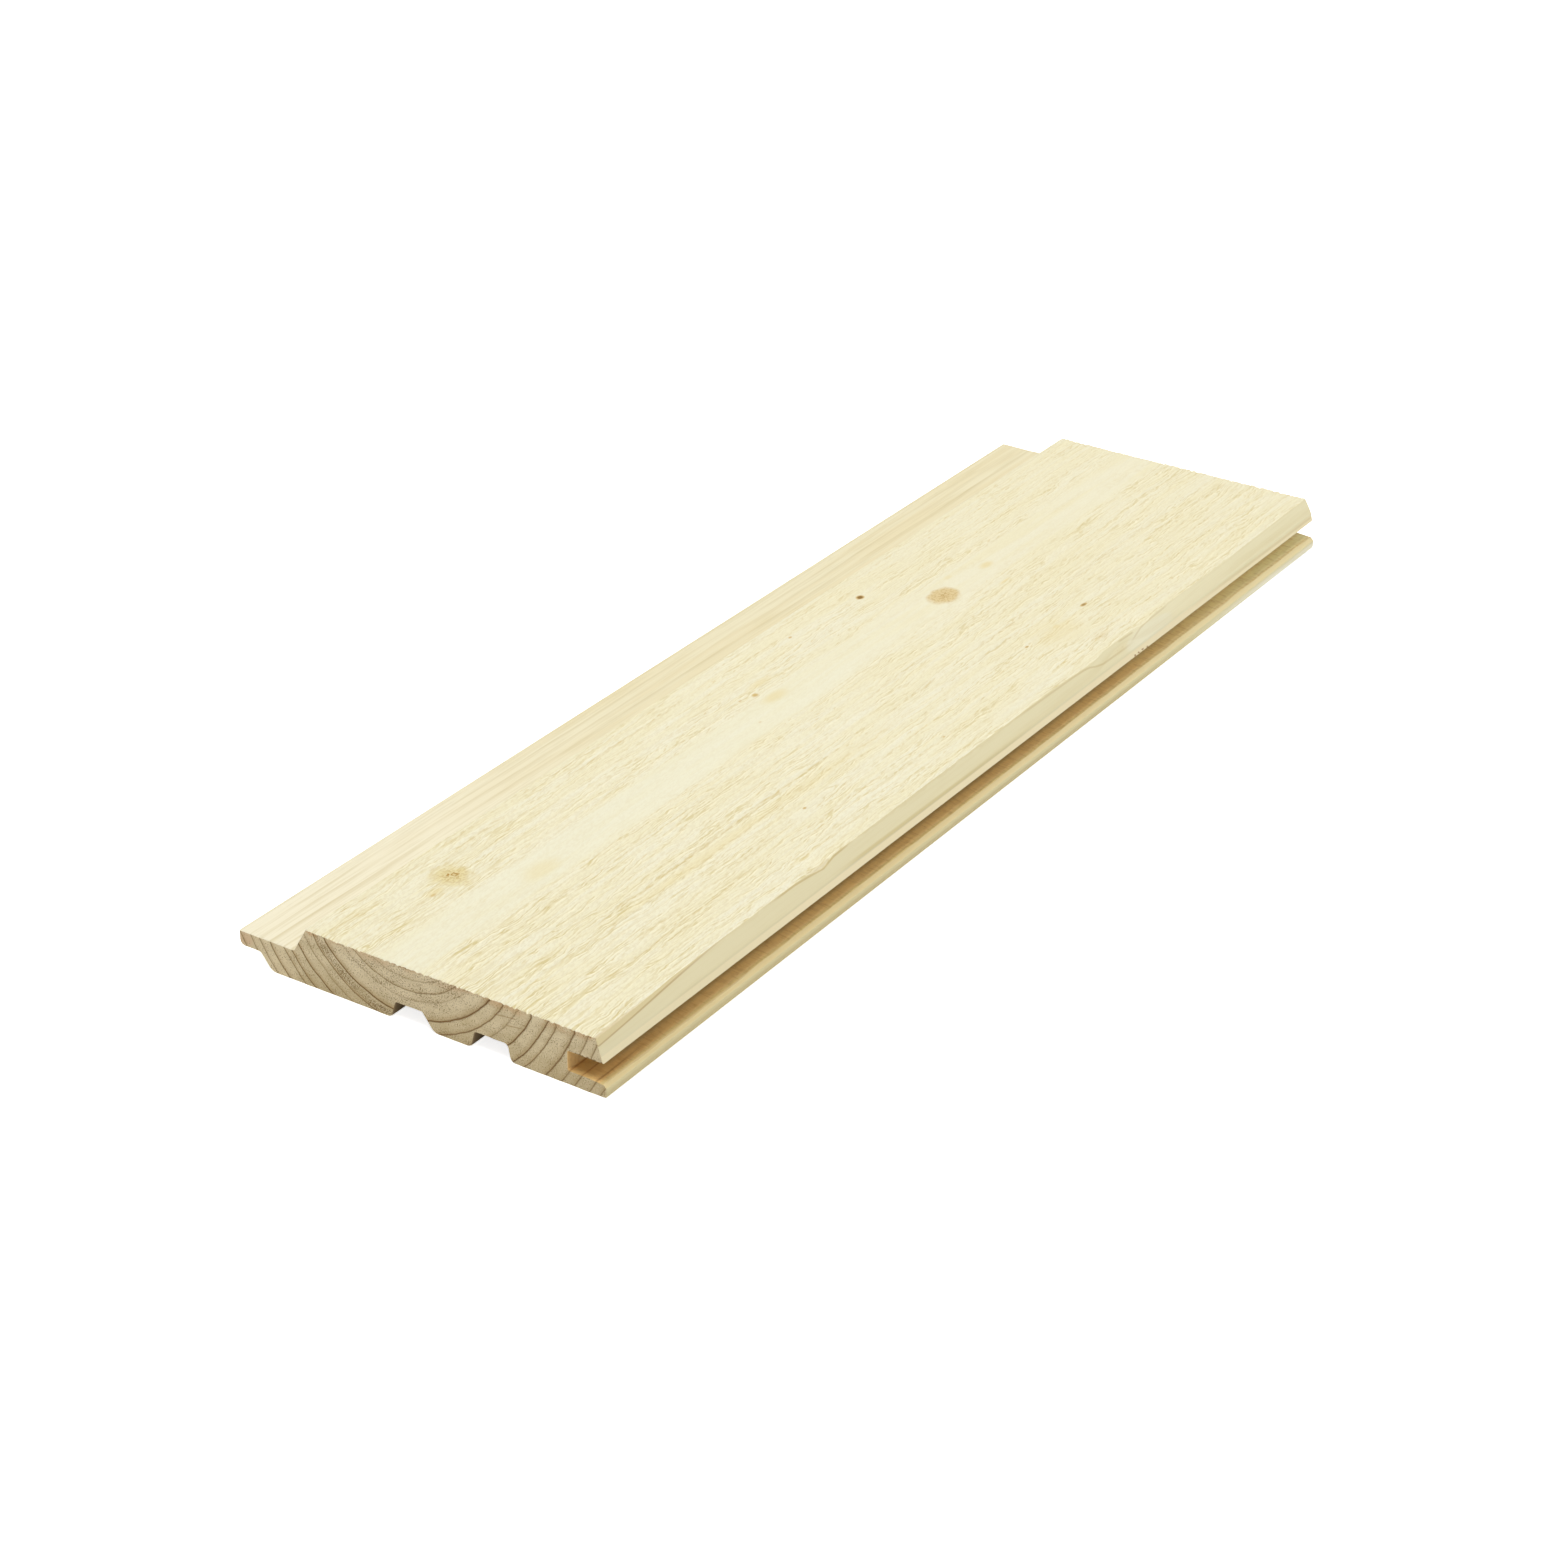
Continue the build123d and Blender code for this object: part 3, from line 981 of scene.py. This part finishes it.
def groove_shade_and_marks(wires, point, ring, inside, cuts):
    """Painted shade inside the groove over the wood's own burnished brown: the floor darker towards the
    back and in a strip under the upper lip's nose, a darker back wall, other tones at the mouth, then the
    cutter's marks and rings at the mouth.
    """
    along, across, _ = wires.split(point)
    front = wires.mix(wires.ramp(along, 60.0, 220.0), GROOVE.floor, GROOVE.far_floor)
    front = wires.mix(wires.ramp(along, NEAR_END, -160.0, 0.65, 0.0), front, GROOVE.mouth_floor)
    shade_by_lip = wires.mix(wires.ramp(along, 0.0, 200.0), GROOVE.shade_by_lip, GROOVE.far_shade_by_lip)
    # painted shade in a strip under the upper lip's nose
    front = wires.mix(wires.fall(across, -71.0, -69.8), front, shade_by_lip)
    back = wires.mix(wires.ramp(along, -20.0, 220.0), GROOVE.back, GROOVE.far_shaded_back)
    back = wires.mix(wires.ramp(along, NEAR_END, -222.0, 0.85, 0.0), back, GROOVE.mouth_shaded_back)
    mouth = wires.times(inside, wires.ramp(along, -240.0, -215.0, 0.55, 0.0))
    rings = wires.times(late_wood(wires, ring, 0.8, 1.2), wires.ramp(ring.shade, 0.3, 0.6))
    return (
        # painted shade, darker towards the back of the groove
        (wires.times(inside, 0.92), wires.mix(wires.ramp(across, -68.2, -65.6), front, back)),
        (wires.times(inside, wires.ramp(cuts, 0.45, 0.7), 0.3), GROOVE.cutter_marks),
        (wires.times(mouth, rings), GROOVE.mouth_rings),
    )


def bevel_line_coats(wires, point):
    """Tones of the lines over the groove side's bevel, the first of them painted shadow under a torn arris,
    of the near ring, and of splinters.
    """
    along, across, up = wires.split(point)
    coats = []
    span = TOP - BEVEL_FOOT
    # The first of these lines is painted shadow under the torn arris near -117 mm
    for shade, places in BEVEL_LINES:
        first = places[0][0]
        run = places[-1][0] - first
        shares = [((place - first) / run, (height - BEVEL_FOOT) / span) for place, height in places]
        share = wires.math("DIVIDE", wires.math("SUBTRACT", along, first), run, clamp=True)
        height = wires.math("MULTIPLY_ADD", wires.curve(share, shares), span, BEVEL_FOOT)
        thin = wires.ramp(wires.gap(up, height), 0.1, 0.5, shade, 0.0)
        ends = wires.band(share, 0.0, 0.2, 0.85, 1.0)
        coats.append((wires.times(thin, ends, wires.fall(across, -65.0, -64.0)), BEVEL.lines_and_arris_shadow))
    near = near_ring(wires, point)
    splinters = wires.noise(wires.stretch(point, 1.4, 1.0, 0.8), detail=2.0)
    under_knot = wires.fall(wires.apart(point, (97.0, -71.7, 12.3), (8.0, 2.0, 1.0)), 0.7, 1.0)
    return (
        *coats,
        (wires.times(near.above, 0.65), BEVEL.above_near_ring),
        (wires.times(near.line, 0.55), BEVEL.near_ring),
        (wires.times(wires.ramp(splinters, 0.5, 0.6), under_knot, 0.85), BEVEL.splinters),
    )


def planed_material():
    """Planed tongue, bevels, lips and back: clearer tan rings, and deeper brown painted shade inside the
    groove.
    """
    material, wires, shader, point = new_material("planed wood")
    along, across, up = wires.split(point)
    knot = knots(wires, point)
    ring = growth(wires, point, knot.push)
    fading = wires.noise(wires.stretch(point, 60.0, 6.0, 8.0), detail=2.0)
    tint = wires.noise(wires.stretch(point, 90.0, 4.0, 5.0), detail=2.0)
    streaks = wires.noise(wires.stretch(point, 25.0, 0.7, 0.7), detail=2.0)
    cuts = wires.noise(wires.stretch(point, 0.9, 5.0, 2.0), detail=2.0, distortion=0.6)
    reach = wires.ramp(along, -230.0, 230.0)
    on_tongue = wires.ramp(across, 48.0, 52.0)
    streaky = wires.times(wires.ramp(streaks, 0.45, 0.7), wires.ramp(on_tongue, 0.0, 1.0, 0.2, 0.3))
    late = wires.times(
        late_wood(wires, ring, 0.5, 1.2),
        ring.shade,
        wires.ramp(fading, 0.35, 0.65, 0.3, 1.0),
        wires.ramp(on_tongue, 0.0, 1.0, 0.45, 0.6),
    )
    lip_bevel = wires.times(wires.fall(across, -69.6, -69.0), wires.band(up, 3.6, 4.0, 5.5, 5.9), 0.85)
    inside = wires.times(
        wires.band(across, -71.7, -71.3, -58.3, -58.0),
        wires.band(up, 4.5, 4.7, 12.1, 12.4),
    )
    # Painted shade on the walls of the back's relief grooves
    channel = wires.times(
        wires.band(up, 0.3, 1.5, 6.3, 6.5),
        wires.band(across, -40.0, -39.0, 13.0, 14.0),
        0.9,
    )
    colour = wires.mix(wires.ramp(tint, 0.35, 0.65), PLANED.cream, PLANED.warmer_cream)
    colour = wires.layer(
        colour,
        (wires.ramp(along, -205.0, -25.0, 0.78, 0.0), PLANED.near_third),
        *bevel_coats(wires, point, reach),
        *lip_side_coats(wires, point, reach),
        (streaky, PLANED.streaks),
        (late, PLANED.late_wood),
        *nose_coats(wires, point),
        (lip_bevel, wires.mix(reach, LIP.near_bevel, LIP.far_bevel)),
        *groove_shade_and_marks(wires, point, ring, inside, cuts),
        (channel, PLANED.relief_groove_shade),
        *bevel_line_coats(wires, point),
        (wires.times(knot.brown, 0.6), PLANED.knots),
        (wires.times(knot.dark, 0.5), PLANED.knot_hearts),
    )
    height = wires.total(streaks, wires.times(inside, cuts, 2.0))
    finish_shader(wires, shader, colour, 0.7, 0.2, height, 0.05 * MM)
    return material


def scratch_coats(wires, across, up):
    """Tones of the thin scratches over the near end."""
    coats = []
    for place, height, half, rise in SCRATCHES:
        offset = wires.math("SUBTRACT", across, place)
        thin = wires.fall(wires.gap(up, wires.math("MULTIPLY_ADD", offset, rise, height)), 0.12, 0.3)
        ends = wires.fall(wires.math("ABSOLUTE", offset), half - 1.5, half)
        coats.append((wires.times(thin, ends, 0.5), END.scratches))
    return coats


def end_grain_material():
    """Sawn end: grey tan with thin dark rings, specks in the young wood, a warmer top edge and painted
    shade low down.
    """
    material, wires, shader, point = new_material("end grain")
    _, across, up = wires.split(point)
    ring = growth(wires, point, knots(wires, point).push)
    line = wires.times(late_wood(wires, ring, 0.87, 1.0), ring.shade)
    broad = wires.times(late_wood(wires, ring, 0.5, 1.3), ring.shade)
    pores = wires.noise(wires.stretch(point, 0.5, 0.46, 0.46), detail=2.0, roughness=0.7)
    clumps = wires.noise(wires.stretch(point, 60.0, 9.0, 3.0), detail=2.0)
    clouds = wires.noise(wires.stretch(point, 9.0, 7.0, 3.5), detail=3.0)
    nicks = wires.noise(wires.stretch(point, 2.5, 1.3, 2.0), detail=2.0)
    from_ring = wires.gap(ring.age, SPECKLED_RING)
    beside = wires.times(wires.fall(from_ring, 0.8, 2.0), wires.ramp(across, -2.0, 6.0))
    young = wires.ramp(ring.age, 33.0, 38.0, 0.03, 0.0)
    dots = wires.total(pores, wires.times(clumps, 0.22), young, wires.times(beside, 0.1))
    dots = wires.ramp(dots, 0.7, 0.77)
    spots = wires.times(
        wires.fall(wires.scatter(wires.stretch(point, 50.0, 1.2, 0.95)), 0.14, 0.36),
        wires.math("MAXIMUM", wires.ramp(ring.age, 34.0, 42.0, 0.6, 0.1), beside),
        wires.ramp(clumps, 0.4, 0.56, 0.3, 1.0),
        wires.ramp(across, 28.0, 20.0),
    )
    # Painted shade, darker towards the bottom of the end, except on the tongue
    low = wires.times(wires.ramp(up, 3.0, 12.0, 0.45, 0.0), wires.fall(across, 42.0, 52.0))
    warm = wires.times(wires.ramp(up, 17.0, 20.6), wires.ramp(clouds, 0.4, 0.6))
    rim = wires.times(
        wires.ramp(up, 19.4, 20.6),
        wires.ramp(nicks, 0.44, 0.62),
        wires.ramp(clumps, 0.4, 0.6),
    )
    tip = wires.apart(point, (NEAR_END, 70.5, 9.0), (6.0, 4.5, 3.5))
    tear = wires.math("MULTIPLY_ADD", nicks, 2.4, wires.math("MULTIPLY", up, -1.0))
    tear = wires.times(
        wires.ramp(tear, -11.5, -11.1),
        wires.fall(across, -60.0, -59.0),
        wires.ramp(up, 11.6, 11.9),
    )
    colour = wires.mix(wires.ramp(clouds, 0.3, 0.7), END.pale, END.dark)
    colour = wires.layer(
        colour,
        (low, END.low_shade),
        (wires.ramp(across, 50.0, 55.0, 0.0, 0.5), END.tongue),
        (wires.times(wires.fall(pores, 0.34, 0.46), 0.45), END.flecks),
        (wires.times(wires.ramp(pores, 0.5, 0.68), 0.3), END.pores),
        (wires.times(warm, 0.6), END.warm_top),
        (wires.times(rim, 0.85), END.nicked_rim),
        (wires.ramp(tip, 0.4, 1.0, 0.6, 0.0), END.tongue_tip),
        (wires.ramp(ring.age, 34.0, 42.0, 0.25, 0.0), END.young_wood),
        (wires.times(broad, 0.6), END.broad_rings),
        (wires.times(dots, 0.75), END.dots),
        (wires.times(spots, 0.8), END.spots),
        (line, END.thin_rings),
        *scratch_coats(wires, across, up),
        (wires.times(tear, 0.8), END.torn_lip),
    )
    height = wires.total(pores, wires.times(line, 0.6), wires.times(dots, -0.6))
    finish_shader(wires, shader, colour, 0.9, 0.15, height, 0.14 * MM)
    return material


def give_materials(piece):
    """One material for the sawn face, one for the planed sides and one for the two ends."""
    piece.data.materials.clear()
    for material in (planed_material(), sawn_face_material(), end_grain_material()):
        piece.data.materials.append(material)
    bpy.ops.object.mode_set(mode="EDIT")
    pick(piece, "FACE", lambda face: on_sawn_face(face.calc_center_median()))
    piece.active_material_index = 1
    bpy.ops.object.material_slot_assign()
    pick(piece, "FACE", closes_an_end)
    piece.active_material_index = 2
    bpy.ops.object.material_slot_assign()
    bpy.ops.object.mode_set(mode="OBJECT")


def make_board():
    """The whole board as one closed skin."""
    board = draw_section("sawn_board", section_corners())
    divide_outline(board)
    extrude_board(board)
    bpy.ops.object.mode_set(mode="OBJECT")
    bpy.ops.object.shade_smooth_by_angle(angle=math.radians(SHARP_FROM))
    give_materials(board)
    sawn_relief(board)
    even = board.modifiers.new("crisp arrises", "WEIGHTED_NORMAL")
    even.keep_sharp = True
    bpy.ops.object.modifier_apply(modifier=even.name)
    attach(board, "root")
    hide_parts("board")
    return board


def make_floor():
    """Plain white floor that keeps a soft shadow, which shows paler to the eye than it lies."""
    bpy.ops.object.select_all(action="DESELECT")
    bpy.ops.mesh.primitive_plane_add(size=FLOOR_SIZE, location=(0, 0, -FLOOR_BELOW))
    floor = bpy.context.object
    floor.name = "floor"
    material = bpy.data.materials.new("white floor")
    material.use_nodes = True
    wires = Wiring(material.node_tree)
    shader = material.node_tree.nodes["Principled BSDF"]
    shader.inputs["Base Color"].default_value = (0.97, 0.97, 0.97, 1.0)
    shader.inputs["Roughness"].default_value = 1.0
    shader.inputs["Specular IOR Level"].default_value = 0.0
    shader.inputs["Emission Color"].default_value = (1.0, 1.0, 1.0, 1.0)
    rays = wires.add("ShaderNodeLightPath")
    wires.feed(shader.inputs["Emission Strength"], wires.times(rays.outputs["Is Camera Ray"], FLOOR_GLOW))
    floor.data.materials.append(material)


def make_world():
    """White all round to the eye, and a plain dim light from everywhere on the board."""
    world = bpy.data.worlds.new("studio")
    bpy.context.scene.world = world
    world.use_nodes = True
    wires = Wiring(world.node_tree)
    light = world.node_tree.nodes["Background"]
    rays = wires.add("ShaderNodeLightPath")
    seen = wires.math("MAXIMUM", rays.outputs["Is Camera Ray"], rays.outputs["Is Glossy Ray"])
    seen = wires.math("MAXIMUM", seen, rays.outputs["Is Transmission Ray"])
    light.inputs["Color"].default_value = (1.0, 1.0, 1.0, 1.0)
    wires.feed(light.inputs["Strength"], wires.ramp(seen, 0.0, 1.0, ROUND_LIGHT, 1.0))


def make_lamps():
    """A soft lamp almost overhead, and a dim broad one low on the groove side."""
    for turn, strength, breadth in LAMPS:
        rotation = (math.radians(turn[0]), math.radians(turn[1]), 0)
        bpy.ops.object.light_add(type="SUN", rotation=rotation)
        lamp = bpy.context.object
        lamp.data.energy = strength
        lamp.data.angle = math.radians(breadth)


def make_camera():
    """Camera from the near end's groove side, looking down on the face."""
    place = Vector(CAMERA_PLACE) * MM
    heading = Matrix.Rotation(math.radians(CAMERA_HEADING), 4, "Z")
    tilt = Matrix.Rotation(math.radians(CAMERA_TILT), 4, "X")
    roll = Matrix.Rotation(math.radians(CAMERA_ROLL), 4, "Z")
    bpy.ops.object.camera_add()
    camera = bpy.context.object
    camera.matrix_world = Matrix.Translation(place) @ heading @ tilt @ roll
    camera.data.lens = CAMERA_LENS
    camera.data.sensor_width = CAMERA_SENSOR
    bpy.context.scene.camera = camera


make_camera()
make_board()
make_floor()
make_world()
make_lamps()
bpy.context.scene.view_settings.view_transform = "Standard"
